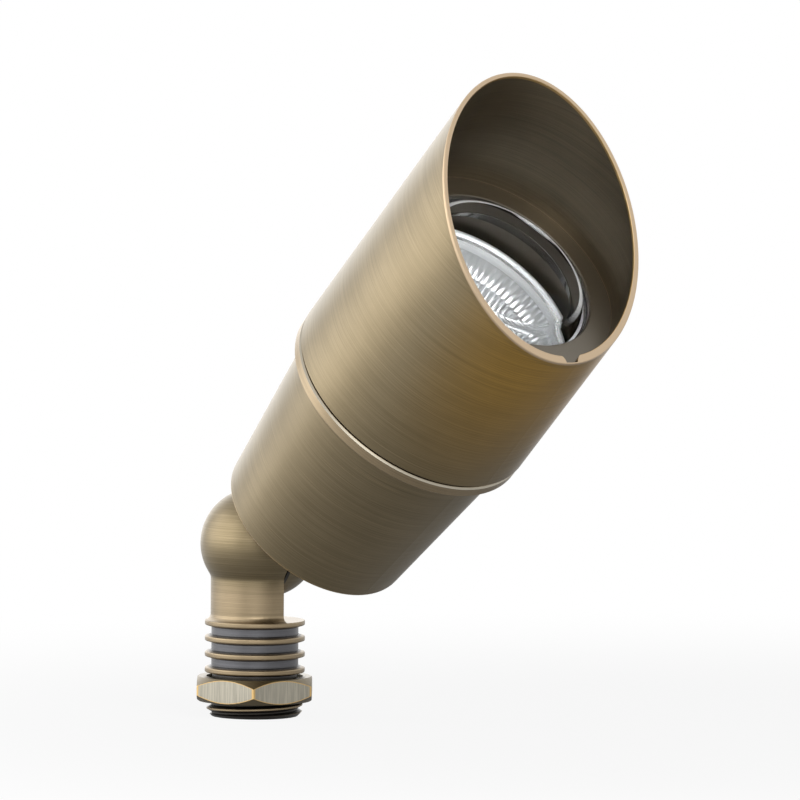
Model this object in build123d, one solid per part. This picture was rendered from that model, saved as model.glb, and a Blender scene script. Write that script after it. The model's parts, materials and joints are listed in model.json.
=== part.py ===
"""Landscape spotlight: a tapered lamp head with a slanted shroud, on a ball knuckle and a threaded stem.

Millimetres, +Z up. The origin is the centre of the stem's lower end, on the thread's axis.
The head leans towards +X and turns about a pivot along Y. Stem pieces are drawn where they stand.
Head pieces are drawn upright about the head's own axis, with z counted from the level of the pivot,
and are then tilted into place.
"""
from build123d import *
import math
import os

# Pose in which the light is drawn
HEAD_TILT = 46.0
SHROUD_TURN = 5.6
NUT_TURN = 18.0

# Clearances
RUNNING_CLEARANCE = 0.06
LOOSE_CLEARANCE = 0.15
FACE_CLEARANCE = 0.05
KNUCKLE_GAP = 0.3

# Stem, from its lower end up
THREAD_DIA = 21.3
THREAD_PITCH = 25.4 / 14
THREAD_DEPTH = 1.1
THREAD_FLANK_ANGLE = 30.0
THREAD_LENGTH = 8.1
THREAD_END_CHAMFER = 1.1
THREAD_START = 71.0
RELIEF_HEIGHT = 1.25
RELIEF_EXTRA_DEPTH = 0.15
RIB_COUNT = 4
RIB_SPACING = 3.5
RIB_DIA = 22.2
RIB_ROOT_DIA = 19.3
RIB_TIP_WIDTH = 1.0
RIB_BASE_WIDTH = 1.9
RIB_EDGE_RADIUS = 0.3
NECK_RISE = 17.6
NECK_DIA = 19.7
NECK_FILLET = 1.4
BALL_FILLET = 2.0
BALL_DIA = 24.4
INLET_DIA = 10.0
INLET_DEPTH = 8.0
STEM_BORE_DIA = 7.0

# Locknut
NUT_WALL = 2.05
NUT_THICKNESS = 5.45
NUT_GAP = 0.5
NUT_CHAMFER_INSET = 0.2
NUT_CHAMFER_ANGLE = 38.0

# Wire bushing in the stem's inlet
BUSHING_HEIGHT = 6.5
BUSHING_BORE_DIA = 5.0
BUSHING_EDGE = 0.5

# Knuckle screw, washer and seal
SCREW_DIA = 6.35
SCREW_HEAD_DIA = 9.5
SCREW_HEAD_HEIGHT = 5.0
SCREW_KEY_FLATS = 4.76
SCREW_KEY_DEPTH = 2.6
SCREW_HOLD = 8.5
SCREW_TIP_ROOM = 0.8
SCREW_EDGE = 0.4
WASHER_DIA = 10.0
WASHER_THICKNESS = 1.0
COUNTERBORE_ROOM = 0.3
COUNTERBORE_DEPTH = 6.2
SEAL_CORD_DIA = 1.8
SEAL_GROOVE_ROOM = 0.2
SEAL_EDGE = 1.0

# Wire way through the knuckle
WIRE_WAY_DIA = 4.0
STEM_WIRE_WAY_SETBACK = 4.4
CHAMBER_WALL = 1.3
CHAMBER_WIDTH = 3.6
CHAMBER_DEPTH = 4.5
EAR_WIRE_WAY_SETBACK = 2.8

# Knuckle ear on the head
EAR_LAND = 2.5
EAR_LEDGE = 16.2
EAR_FLANGE_DIA = 22.0
EAR_FLANGE_THICKNESS = 2.0
EAR_FLANGE_EDGE = 0.4
EAR_SPIGOT_SHIFT = 3.0
EAR_SPIGOT_DIA = 12.0
EAR_SPIGOT_BEYOND_NUT = 1.5
EAR_GASKET_THICKNESS = 1.0
EAR_NUT_FLATS = 17.0
EAR_NUT_THICKNESS = 4.0
EAR_NUT_CHAMFER_INSET = 0.3
EAR_NUT_CHAMFER_ANGLE = 30.0

# Housing
HEAD_OFFSET = 9.8
REAR_DIA = 43.5
REAR_EDGE_RADIUS = 0.7
REAR_WALL = 3.2
CONE_LENGTH = 40.9
CONE_FRONT_DIA = 51.7
HOUSING_WALL = 2.4
COLLAR_DIA = 56.3
COLLAR_THICKNESS = 2.8
COLLAR_EDGE = 0.4
SPIGOT_LENGTH = 12.0
SPIGOT_WALL = 3.7
SPIGOT_LEAD_IN = 0.6

# Shroud
SHROUD_GAP = 0.55
SHROUD_DIA = 56.6
SHROUD_WALL = 1.7
SHROUD_BORE_DRAFT = 1.4
SHROUD_CUT_ANGLE = 28.2
SHELF_HEIGHT = 38.7
SHELF_WIDTH = 5.2
SHELF_THICKNESS = 1.2
SHELF_EDGE = 0.3
SHORT_SIDE_ABOVE_SHELF = 1.6
RIM_OUTER_EDGE = 0.35
RIM_INNER_EDGE = 0.2
SHROUD_FOOT_EDGE = 0.3
NOTCH_WIDTH = 3.4
NOTCH_SHOULDER = 2.25
NOTCH_SKIN = 0.25
NOTCH_TURN = -3.5

# Shroud seals on the housing's spigot
SHROUD_SEAL_COUNT = 2
SHROUD_SEAL_CORD_DIA = 1.7
SHROUD_SEAL_FIRST = 4.5
SHROUD_SEAL_SPACING = 5.5
SHROUD_SEAL_ROOM = 0.2

# Lens under the shelf, its gasket and its snap ring
LENS_THICKNESS = 2.9
LENS_EDGE = 0.5
LENS_CROWN_ROOM = 0.4
LENS_CROWN_RISE = 4.05
LENS_CROWN_DRAFT = 32.0
LENS_CROWN_EDGE = 1.6
LENS_HOLLOW_EDGE = 1.0
GASKET_THICKNESS = 0.8
GASKET_OVERHANG = 0.2
SNAP_RING_WIDTH = 1.3
SNAP_RING_THICKNESS = 0.8
SNAP_GROOVE_DEPTH = 0.4
SNAP_RING_GAP_ANGLE = 16.0

# Lamp
LAMP_SETBACK = 8.9
LAMP_ROOM = 1.85
LAMP_RIM_HEIGHT = 4.0
LAMP_DEPTH = 28.0
LAMP_NECK_DIA = 19.0
LAMP_BULGE = 3.0
LAMP_WALL = 1.4
LAMP_THROAT_DIA = 12.0
COVER_GLASS_THICKNESS = 1.6
COVER_GLASS_RECESS = 0.4
CAPSULE_DIA = 9.5
CAPSULE_HEIGHT = 18.0
LAMP_BASE_LENGTH = 19.0
LAMP_BASE_WIDTH = 11.0
LAMP_BASE_HEIGHT = 10.0
LAMP_BASE_CORNER = 3.0
PIN_SPACING = 5.33
PIN_DIA = 1.5
PIN_LENGTH = 7.5

# Socket, bracket and leads
SOCKET_LENGTH = 20.0
SOCKET_WIDTH = 12.0
SOCKET_HEIGHT = 14.0
SOCKET_CORNER = 2.5
SOCKET_GAP = 0.2
CONTACT_WALL = 0.5
CONTACT_LENGTH = 11.0
BRACKET_THICKNESS = 1.2
BRACKET_WIDTH = 16.0
BRACKET_FOOT = 9.0
BRACKET_OVERLAP = 10.0
BRACKET_SCREW_DIA = 3.0
BRACKET_SCREW_SPACING = 9.0
BRACKET_SCREW_HOLD = 2.4
SOCKET_SCREW_DIA = 2.5
SOCKET_SCREW_SPACING = 10.0
SOCKET_SCREW_HOLD = 4.0
SMALL_HEAD_RATIO = 1.8
SMALL_HEAD_HEIGHT = 1.6
SMALL_SLOT_WIDTH = 0.6
SMALL_SLOT_DEPTH = 0.8
LEAD_DIA = 2.2
LEAD_BEND_SHARE = 0.7
LEAD_REACH = 9.0
SPLICE_DIA = 3.8
SPLICE_LENGTH = 8.0
SPLICE_OVERLAP = 3.0
SPLICE_CLEARANCE = 0.75

# Stem levels
RELIEF_DIA = THREAD_DIA - 2 * (THREAD_DEPTH + RELIEF_EXTRA_DEPTH)
RIB_FOOT = THREAD_LENGTH + RELIEF_HEIGHT
BOTTOM_RIB = RIB_FOOT + RIB_BASE_WIDTH / 2
TOP_RIB = BOTTOM_RIB + (RIB_COUNT - 1) * RIB_SPACING
STEM_LEDGE = TOP_RIB + RIB_TIP_WIDTH / 2
PIVOT_HEIGHT = TOP_RIB + NECK_RISE
NUT_FLATS = THREAD_DIA + 2 * NUT_WALL

# Knuckle levels, counted from the pivot
BALL_RADIUS = BALL_DIA / 2
HALF_GAP = KNUCKLE_GAP / 2
SCREW_SEAT = EAR_LAND + BALL_RADIUS - COUNTERBORE_DEPTH
SCREW_HEAD_SEAT = SCREW_SEAT + WASHER_THICKNESS
SEAL_GROOVE_WIDTH = SEAL_CORD_DIA + 2 * SEAL_GROOVE_ROOM
SEAL_CENTRE_DIA = BALL_DIA - 2 * SEAL_EDGE - SEAL_GROOVE_WIDTH
SEAL_LEVEL = HALF_GAP - FACE_CLEARANCE - SEAL_CORD_DIA / 2
CROSSING_RADIUS = SCREW_DIA / 2 + LOOSE_CLEARANCE + CHAMBER_WALL + CHAMBER_WIDTH / 2

# Head levels along its own axis, counted from the level of the pivot
REAR_FACE = EAR_LEDGE + EAR_FLANGE_THICKNESS + EAR_GASKET_THICKNESS
FLOOR = REAR_FACE + REAR_WALL
EAR_SPIGOT_TOP = FLOOR + EAR_NUT_THICKNESS + EAR_SPIGOT_BEYOND_NUT
COLLAR_BOTTOM = REAR_FACE + CONE_LENGTH
COLLAR_TOP = COLLAR_BOTTOM + COLLAR_THICKNESS
SPIGOT_TOP = COLLAR_TOP + SPIGOT_LENGTH
SHROUD_FOOT = COLLAR_TOP + SHROUD_GAP
SHROUD_BORE_DIA = SHROUD_DIA - 2 * SHROUD_WALL
SPIGOT_DIA = SHROUD_BORE_DIA - 2 * RUNNING_CLEARANCE
SPIGOT_BORE_DIA = SPIGOT_DIA - 2 * SPIGOT_WALL
SHELF_TOP = SHROUD_FOOT + SHELF_HEIGHT
SHELF_FOOT = SHELF_TOP - SHELF_THICKNESS
SHELF_OPENING_DIA = SHROUD_BORE_DIA - 2 * SHELF_WIDTH
CUT_LEVEL = SHELF_TOP + SHORT_SIDE_ABOVE_SHELF + SHROUD_DIA / 2 * math.tan(math.radians(SHROUD_CUT_ANGLE))
GASKET_TOP = SHELF_FOOT - FACE_CLEARANCE
GASKET_FOOT = GASKET_TOP - GASKET_THICKNESS
LENS_TOP = GASKET_FOOT - FACE_CLEARANCE
LENS_FOOT = LENS_TOP - LENS_THICKNESS
LENS_DIA = SHROUD_BORE_DIA - 2 * LOOSE_CLEARANCE
LENS_CROWN_TOP = LENS_TOP + LENS_CROWN_RISE
SNAP_RING_TOP = LENS_FOOT - FACE_CLEARANCE
SNAP_RING_FOOT = SNAP_RING_TOP - SNAP_RING_THICKNESS
LAMP_DIA = SHROUD_BORE_DIA - 2 * LAMP_ROOM
LAMP_FRONT = LENS_FOOT - LAMP_SETBACK
LAMP_NECK = LAMP_FRONT - LAMP_DEPTH
LAMP_FOOT = LAMP_NECK - LAMP_BASE_HEIGHT
SOCKET_TOP = LAMP_FOOT - SOCKET_GAP
SOCKET_FOOT = SOCKET_TOP - SOCKET_HEIGHT
CONTACT_FOOT = SOCKET_TOP - CONTACT_LENGTH
CONTACT_BORE_DIA = PIN_DIA + 2 * RUNNING_CLEARANCE
CONTACT_DIA = CONTACT_BORE_DIA + 2 * CONTACT_WALL
BRACKET_FACE = SOCKET_WIDTH / 2
BRACKET_TOP = SOCKET_FOOT + BRACKET_OVERLAP
BRACKET_SCREW_PLACE = BRACKET_FACE + BRACKET_THICKNESS + (BRACKET_FOOT - BRACKET_THICKNESS) / 2
SOCKET_SCREW_LEVEL = SOCKET_FOOT + BRACKET_OVERLAP / 2
LEAD_LEVEL = EAR_SPIGOT_TOP + SPLICE_CLEARANCE + SPLICE_DIA / 2
LEAD_BEND_RADIUS = (SOCKET_FOOT - LEAD_LEVEL) * LEAD_BEND_SHARE

# Frames
PIVOT = Pos(0, 0, PIVOT_HEIGHT)
HEAD = PIVOT * Rot(0, HEAD_TILT, 0)
HEAD_AXIS = HEAD * Pos(HEAD_OFFSET, 0, 0)
SHROUD_AXIS = HEAD_AXIS * Rot(0, 0, SHROUD_TURN)
ALONG_Y = Rot(-90, 0, 0)

FROM_BELOW = (Align.CENTER, Align.CENTER, Align.MIN)


def rod(diameter, bottom, top):
    """A round bar on the Z axis."""
    return Pos(0, 0, bottom) * Cylinder(diameter / 2, top - bottom, align=FROM_BELOW)


def tube(outer, inner, bottom, top):
    """A round pipe on the Z axis."""
    return rod(outer, bottom, top) - rod(inner, bottom, top)


def turned(outline):
    """A lathe shape from (radius, height) points."""
    face = make_face(Polyline(*outline, close=True))
    return revolve(Plane.XZ * face, Axis.Z)


def domed_rod(diameter, shoulder, foot=0):
    """A round bar on the Z axis that ends in half a ball."""
    radius = diameter / 2
    top = shoulder + radius
    slant = radius * math.sqrt(0.5)
    side = Polyline((0, top), (0, foot), (radius, foot), (radius, shoulder))
    dome = ThreePointArc((radius, shoulder), (slant, shoulder + slant), (0, top))
    return revolve(Plane.XZ * make_face(side + dome), Axis.Z)


def rounded_block(length, width, corner, bottom, top):
    """An upright block with rounded vertical corners, its length along Y."""
    outline = RectangleRounded(width, length, corner)
    return Pos(0, 0, bottom) * extrude(outline, top - bottom)


def o_ring(centre_dia, cord_dia, level):
    """A round sealing ring about the Z axis."""
    return Pos(0, 0, level) * Torus(centre_dia / 2, cord_dia / 2)


def circles_of(shape, diameter):
    """The round edges of one diameter."""
    edges = shape.edges().filter_by(GeomType.CIRCLE)
    return edges.filter_by(lambda edge: abs(edge.radius - diameter / 2) < 1e-4)


def pair_along_y(shape, spacing):
    """Two copies of a piece, side by side along Y."""
    return [Pos(0, side * spacing / 2, 0) * shape for side in (-1, 1)]


def hex_nut(flats, thickness, bore, inset, angle):
    """A hexagon nut standing on the XY plane, chamfered on both faces."""
    corner = flats / math.sqrt(3)
    face_radius = flats / 2 - inset
    drop = (corner - face_radius) * math.tan(math.radians(angle))
    barrel = turned([
        (0, 0),
        (face_radius, 0),
        (corner, drop),
        (corner, thickness - drop),
        (face_radius, thickness),
        (0, thickness),
    ])
    prism = extrude(RegularPolygon(corner, 6), thickness)
    return (prism & barrel) - rod(bore, 0, thickness)


def small_screw(diameter, hold, through):
    """A slotted pan-head screw pointing down, with the underside of its head on the XY plane."""
    head_dia = diameter * SMALL_HEAD_RATIO
    head = rod(head_dia, 0, SMALL_HEAD_HEIGHT)
    head = fillet(head.edges().group_by(Axis.Z)[-1], SMALL_HEAD_HEIGHT / 3)
    slot = Pos(0, 0, SMALL_HEAD_HEIGHT) * Box(head_dia, SMALL_SLOT_WIDTH, 2 * SMALL_SLOT_DEPTH)
    shank = rod(diameter, -hold - through, 0)
    return head + shank - slot


def beside_flat(side, bottom, top):
    """The space on one side of the knuckle's mating plane, between two levels."""
    reach = 4 * BALL_DIA
    middle = side * (reach / 2 - HALF_GAP)
    return Pos(0, middle, (bottom + top) / 2) * Box(reach, reach, top - bottom)


def stem_blank():
    """Thread cylinder, ribs and neck, before any cut."""
    thread_radius = THREAD_DIA / 2
    outline = [
        (0, 0),
        (thread_radius - THREAD_END_CHAMFER, 0),
        (thread_radius, THREAD_END_CHAMFER),
        (thread_radius, THREAD_LENGTH),
        (RELIEF_DIA / 2, THREAD_LENGTH),
    ]
    for rib in range(RIB_COUNT):
        middle = BOTTOM_RIB + rib * RIB_SPACING
        below = RELIEF_DIA if rib == 0 else RIB_ROOT_DIA
        above = NECK_DIA if rib == RIB_COUNT - 1 else RIB_ROOT_DIA
        outline += [
            (below / 2, middle - RIB_BASE_WIDTH / 2),
            (RIB_DIA / 2, middle - RIB_TIP_WIDTH / 2),
            (RIB_DIA / 2, middle + RIB_TIP_WIDTH / 2),
            (above / 2, middle + RIB_BASE_WIDTH / 2),
        ]
    outline += [(NECK_DIA / 2, PIVOT_HEIGHT), (0, PIVOT_HEIGHT)]
    blank = turned(outline)
    neck_corner = circles_of(blank, NECK_DIA).group_by(Axis.Z)[0]
    blank = fillet(neck_corner, NECK_FILLET)
    return fillet(circles_of(blank, RIB_DIA), RIB_EDGE_RADIUS)


def thread_turn():
    """One turn of the helical groove between the crests of the thread."""
    helix = Helix(THREAD_PITCH, THREAD_PITCH, THREAD_DIA / 2)
    overshoot = THREAD_DEPTH / 4
    slope = math.tan(math.radians(THREAD_FLANK_ANGLE))
    root = THREAD_PITCH / 16
    mouth = root + (THREAD_DEPTH + overshoot) * slope
    profile = Polyline(
        (-THREAD_DEPTH, -root), (overshoot, -mouth), (overshoot, mouth), (-THREAD_DEPTH, root), close=True
    )
    section = Plane(origin=helix @ 0, x_dir=(1, 0, 0), z_dir=helix % 0) * make_face(profile)
    return Rot(0, 0, THREAD_START) * sweep(section, path=helix, is_frenet=True)


def stem():
    """Threaded post with ribs, neck and one half of the ball knuckle."""
    body = stem_blank() + PIVOT * Sphere(BALL_RADIUS)
    body = fillet(circles_of(body, NECK_DIA).group_by(Axis.Z)[-1], BALL_FILLET)
    groove = thread_turn()
    below_ribs = rod(2 * THREAD_DIA, -2 * THREAD_PITCH, RIB_FOOT)
    for turn in range(-1, math.ceil(THREAD_LENGTH / THREAD_PITCH)):
        body -= Pos(0, 0, turn * THREAD_PITCH) * groove & below_ribs
    body -= beside_flat(1, STEM_LEDGE, PIVOT_HEIGHT + BALL_DIA)
    body -= rod(INLET_DIA, 0, INLET_DEPTH)
    body -= rod(STEM_BORE_DIA, INLET_DEPTH, TOP_RIB)
    crossing = PIVOT_HEIGHT - CROSSING_RADIUS
    riser = rod(WIRE_WAY_DIA, TOP_RIB - RIB_SPACING, crossing)
    body -= Pos(0, -STEM_WIRE_WAY_SETBACK, 0) * riser
    cross_hole = rod(CHAMBER_WIDTH, -STEM_WIRE_WAY_SETBACK, 0)
    body -= Pos(0, 0, crossing) * ALONG_Y * cross_hole
    screw_hole = rod(SCREW_DIA + 2 * RUNNING_CLEARANCE, -SCREW_HOLD - SCREW_TIP_ROOM, 0)
    seal_outer = SEAL_CENTRE_DIA + SEAL_GROOVE_WIDTH
    seal_inner = SEAL_CENTRE_DIA - SEAL_GROOVE_WIDTH
    seal_floor = SEAL_LEVEL - SEAL_CORD_DIA / 2 - FACE_CLEARANCE
    seal_groove = tube(seal_outer, seal_inner, seal_floor, 0)
    return body - PIVOT * ALONG_Y * (screw_hole + seal_groove)


def locknut():
    """Hexagon locknut on the stem's thread."""
    bore = THREAD_DIA + 2 * RUNNING_CLEARANCE
    nut = hex_nut(NUT_FLATS, NUT_THICKNESS, bore, NUT_CHAMFER_INSET, NUT_CHAMFER_ANGLE)
    return Pos(0, 0, RIB_FOOT - NUT_GAP - NUT_THICKNESS) * Rot(0, 0, NUT_TURN) * nut


def wire_bushing():
    """Rubber bushing in the stem's wire inlet."""
    bottom = INLET_DEPTH - BUSHING_HEIGHT
    bushing = rod(INLET_DIA - 2 * RUNNING_CLEARANCE, bottom, INLET_DEPTH)
    bushing = chamfer(bushing.edges().group_by(Axis.Z)[0], BUSHING_EDGE)
    return bushing - rod(BUSHING_BORE_DIA, bottom, INLET_DEPTH)


def knuckle_seal():
    """O-ring in the stem's knuckle flat."""
    return PIVOT * ALONG_Y * o_ring(SEAL_CENTRE_DIA, SEAL_CORD_DIA, SEAL_LEVEL)


def pivot_screw():
    """Socket-head screw that clamps the knuckle, its head on the far side."""
    top = SCREW_HEAD_SEAT + SCREW_HEAD_HEIGHT
    head = rod(SCREW_HEAD_DIA, SCREW_HEAD_SEAT, top)
    head = chamfer(head.edges().group_by(Axis.Z)[-1], SCREW_EDGE)
    key = extrude(RegularPolygon(SCREW_KEY_FLATS / math.sqrt(3), 6), SCREW_KEY_DEPTH)
    shank = rod(SCREW_DIA, -SCREW_HOLD, SCREW_HEAD_SEAT)
    shank = chamfer(shank.edges().group_by(Axis.Z)[0], SCREW_EDGE)
    screw = head + shank - Pos(0, 0, top - SCREW_KEY_DEPTH) * key
    return PIVOT * ALONG_Y * screw


def pivot_washer():
    """Flat washer under the screw's head."""
    bore = SCREW_DIA + 2 * LOOSE_CLEARANCE
    return HEAD * ALONG_Y * tube(WASHER_DIA, bore, SCREW_SEAT, SCREW_HEAD_SEAT)


def ear_hollows():
    """Screw hole, counterbore, wire chamber and wire way of the ear."""
    dome_top = EAR_LAND + BALL_DIA
    screw_hole = rod(SCREW_DIA + 2 * LOOSE_CLEARANCE, -BALL_DIA, dome_top)
    counterbore = rod(WASHER_DIA + 2 * COUNTERBORE_ROOM, SCREW_SEAT, dome_top)
    chamber_middle = 2 * CROSSING_RADIUS
    chamber = tube(chamber_middle + CHAMBER_WIDTH, chamber_middle - CHAMBER_WIDTH, 0, CHAMBER_DEPTH)
    way = rod(WIRE_WAY_DIA, CROSSING_RADIUS - CHAMBER_WIDTH / 2, EAR_SPIGOT_TOP)
    way = Pos(EAR_SPIGOT_SHIFT, EAR_WIRE_WAY_SETBACK, 0) * way
    return ALONG_Y * (screw_hole + counterbore + chamber) + way


def knuckle_ear():
    """Half of the ball knuckle that carries the head, with its flange and threaded spigot."""
    flange_top = EAR_LEDGE + EAR_FLANGE_THICKNESS
    half = ALONG_Y * domed_rod(BALL_DIA, EAR_LAND) + rod(NECK_DIA, 0, EAR_LEDGE)
    half -= beside_flat(-1, -BALL_DIA, EAR_LEDGE)
    flange = rod(EAR_FLANGE_DIA, EAR_LEDGE, flange_top)
    flange = chamfer(flange.edges().group_by(Axis.Z)[0], EAR_FLANGE_EDGE)
    spigot = Pos(EAR_SPIGOT_SHIFT, 0, 0) * rod(EAR_SPIGOT_DIA, flange_top, EAR_SPIGOT_TOP)
    return HEAD * (half + flange + spigot - ear_hollows())


def ear_gasket():
    """Flat gasket between the ear's flange and the housing."""
    gasket = rod(EAR_FLANGE_DIA, EAR_LEDGE + EAR_FLANGE_THICKNESS, REAR_FACE)
    hole = rod(EAR_SPIGOT_DIA + 2 * LOOSE_CLEARANCE, EAR_LEDGE, REAR_FACE)
    return HEAD * (gasket - Pos(EAR_SPIGOT_SHIFT, 0, 0) * hole)


def ear_nut():
    """Nut inside the housing that holds the ear."""
    bore = EAR_SPIGOT_DIA + 2 * RUNNING_CLEARANCE
    nut = hex_nut(EAR_NUT_FLATS, EAR_NUT_THICKNESS, bore, EAR_NUT_CHAMFER_INSET, EAR_NUT_CHAMFER_ANGLE)
    return HEAD * Pos(EAR_SPIGOT_SHIFT, 0, FLOOR) * nut


def shroud_seal_levels():
    """Heights of the O-rings on the housing's spigot."""
    first = COLLAR_TOP + SHROUD_SEAL_FIRST
    return [first + index * SHROUD_SEAL_SPACING for index in range(SHROUD_SEAL_COUNT)]


def housing():
    """Tapered rear body with its collar and the grooved spigot that the shroud slips over."""
    shell = turned([
        (0, REAR_FACE),
        (REAR_DIA / 2, REAR_FACE),
        (CONE_FRONT_DIA / 2, COLLAR_BOTTOM),
        (COLLAR_DIA / 2, COLLAR_BOTTOM),
        (COLLAR_DIA / 2, COLLAR_TOP),
        (SPIGOT_DIA / 2, COLLAR_TOP),
        (SPIGOT_DIA / 2, SPIGOT_TOP),
        (SPIGOT_BORE_DIA / 2, SPIGOT_TOP),
        (SPIGOT_BORE_DIA / 2, COLLAR_BOTTOM),
        (REAR_DIA / 2 - HOUSING_WALL, FLOOR),
        (0, FLOOR),
    ])
    shell = fillet(circles_of(shell, REAR_DIA), REAR_EDGE_RADIUS)
    shell = chamfer(circles_of(shell, COLLAR_DIA), COLLAR_EDGE)
    shell = chamfer(circles_of(shell, SPIGOT_DIA).group_by(Axis.Z)[-1], SPIGOT_LEAD_IN)
    groove_width = SHROUD_SEAL_CORD_DIA + 2 * SHROUD_SEAL_ROOM
    groove_floor = SHROUD_BORE_DIA - 2 * (SHROUD_SEAL_CORD_DIA + 2 * FACE_CLEARANCE)
    for level in shroud_seal_levels():
        shell -= tube(SHROUD_DIA, groove_floor, level - groove_width / 2, level + groove_width / 2)
    hole = rod(EAR_SPIGOT_DIA + 2 * LOOSE_CLEARANCE, REAR_FACE, FLOOR)
    shell -= Pos(EAR_SPIGOT_SHIFT - HEAD_OFFSET, 0, 0) * hole
    screw_hole = rod(BRACKET_SCREW_DIA + 2 * RUNNING_CLEARANCE, FLOOR - BRACKET_SCREW_HOLD, FLOOR)
    for screw_place in pair_along_y(screw_hole, BRACKET_SCREW_SPACING):
        shell -= Pos(BRACKET_SCREW_PLACE, 0, 0) * screw_place
    return HEAD_AXIS * shell


def shroud_seals():
    """O-rings that grip and seal the shroud."""
    centre_dia = SHROUD_BORE_DIA - 2 * FACE_CLEARANCE - SHROUD_SEAL_CORD_DIA
    rings = [o_ring(centre_dia, SHROUD_SEAL_CORD_DIA, level) for level in shroud_seal_levels()]
    return HEAD_AXIS * (Part() + rings)


def weep_notch():
    """Notch with rounded shoulders that drains the shelf at the short side of the rim."""
    skin = SHROUD_DIA / 2 - NOTCH_SKIN
    shoulder = SHROUD_BORE_DIA / 2 + NOTCH_SHOULDER
    half_angle = math.asin(NOTCH_WIDTH / 2 / skin)
    half_angle += math.acos((skin**2 + shoulder**2 - NOTCH_SHOULDER**2) / (2 * skin * shoulder))
    spread = SHROUD_DIA * math.tan(half_angle)
    wedge = make_face(Polyline((0, 0), (SHROUD_DIA, -spread), (SHROUD_DIA, spread), close=True))
    outline = wedge & Circle(skin)
    for side in (-1, 1):
        across = side * shoulder * math.sin(half_angle)
        outline -= Pos(shoulder * math.cos(half_angle), across) * Circle(NOTCH_SHOULDER)
    return Pos(0, 0, SHELF_TOP) * extrude(outline, SHROUD_DIA)


def shroud():
    """Slip-on glare guard with a slanted mouth, short side towards +X before it is turned."""
    radius = SHROUD_DIA / 2
    bore = SHROUD_BORE_DIA / 2
    top = CUT_LEVEL + radius
    top_bore = bore + (top - SHELF_TOP) * math.tan(math.radians(SHROUD_BORE_DRAFT))
    blank = turned([
        (radius, SHROUD_FOOT),
        (radius, top),
        (top_bore, top),
        (bore, SHELF_TOP),
        (SHELF_OPENING_DIA / 2, SHELF_TOP),
        (SHELF_OPENING_DIA / 2, SHELF_FOOT),
        (bore, SHELF_FOOT),
        (bore, SHROUD_FOOT),
    ])
    foot_edges = blank.edges().group_by(Axis.Z)[0]
    blank = chamfer(foot_edges, SHROUD_FOOT_EDGE)
    blank = fillet(circles_of(blank, SHELF_OPENING_DIA).group_by(Axis.Z)[-1], SHELF_EDGE)
    slant = math.radians(SHROUD_CUT_ANGLE)
    mouth = Plane(origin=(0, 0, CUT_LEVEL), z_dir=(math.sin(slant), 0, math.cos(slant)))
    cut = split(blank, mouth, keep=Keep.BOTTOM)
    rim = cut.edges().filter_by(GeomType.ELLIPSE).sort_by(SortBy.LENGTH)
    cut = fillet(rim[-1], RIM_OUTER_EDGE)
    rim = cut.edges().filter_by(GeomType.ELLIPSE).sort_by(SortBy.LENGTH)
    cut = fillet(rim[0], RIM_INNER_EDGE)
    groove_dia = SHROUD_BORE_DIA + 2 * SNAP_GROOVE_DEPTH
    cut -= rod(groove_dia, SNAP_RING_FOOT - FACE_CLEARANCE, LENS_FOOT)
    return SHROUD_AXIS * (cut - Rot(0, 0, NOTCH_TURN) * weep_notch())


def lens():
    """Pressed glass under the shroud's shelf, with a raised crown that stands through its opening."""
    draft = math.radians(LENS_CROWN_DRAFT)
    ceiling = LENS_CROWN_TOP - LENS_THICKNESS
    crown_foot = SHELF_OPENING_DIA / 2 - LENS_CROWN_ROOM
    crown_top = crown_foot - LENS_CROWN_RISE * math.tan(draft)
    hollow_side = crown_foot - LENS_THICKNESS / math.cos(draft)
    hollow_foot = hollow_side + LENS_THICKNESS * math.tan(draft)
    hollow_top = hollow_side - (ceiling - LENS_TOP) * math.tan(draft)
    glass = turned([
        (0, LENS_CROWN_TOP),
        (crown_top, LENS_CROWN_TOP),
        (crown_foot, LENS_TOP),
        (LENS_DIA / 2, LENS_TOP),
        (LENS_DIA / 2, LENS_FOOT),
        (hollow_foot, LENS_FOOT),
        (hollow_top, ceiling),
        (0, ceiling),
    ])
    glass = chamfer(circles_of(glass, LENS_DIA), LENS_EDGE)
    glass = fillet(circles_of(glass, 2 * crown_top), LENS_CROWN_EDGE)
    return HEAD_AXIS * fillet(circles_of(glass, 2 * hollow_top), LENS_HOLLOW_EDGE)


def lens_gasket():
    """Flat rubber ring between the shelf and the lens."""
    outer = SHROUD_BORE_DIA - 2 * RUNNING_CLEARANCE
    inner = SHELF_OPENING_DIA - 2 * GASKET_OVERHANG
    return HEAD_AXIS * tube(outer, inner, GASKET_FOOT, GASKET_TOP)


def lens_snap_ring():
    """Open spring ring in the shroud's groove, which holds the lens up against the shelf."""
    outer = SHROUD_BORE_DIA + 2 * (SNAP_GROOVE_DEPTH - RUNNING_CLEARANCE)
    inner = outer - 2 * SNAP_RING_WIDTH
    ring = tube(outer, inner, SNAP_RING_FOOT, SNAP_RING_TOP)
    spread = SHROUD_DIA * math.tan(math.radians(SNAP_RING_GAP_ANGLE / 2))
    gap = make_face(Polyline((0, 0), (SHROUD_DIA, -spread), (SHROUD_DIA, spread), close=True))
    wedge = Pos(0, 0, SNAP_RING_FOOT) * extrude(gap, SNAP_RING_THICKNESS)
    return SHROUD_AXIS * (ring - wedge)


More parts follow.
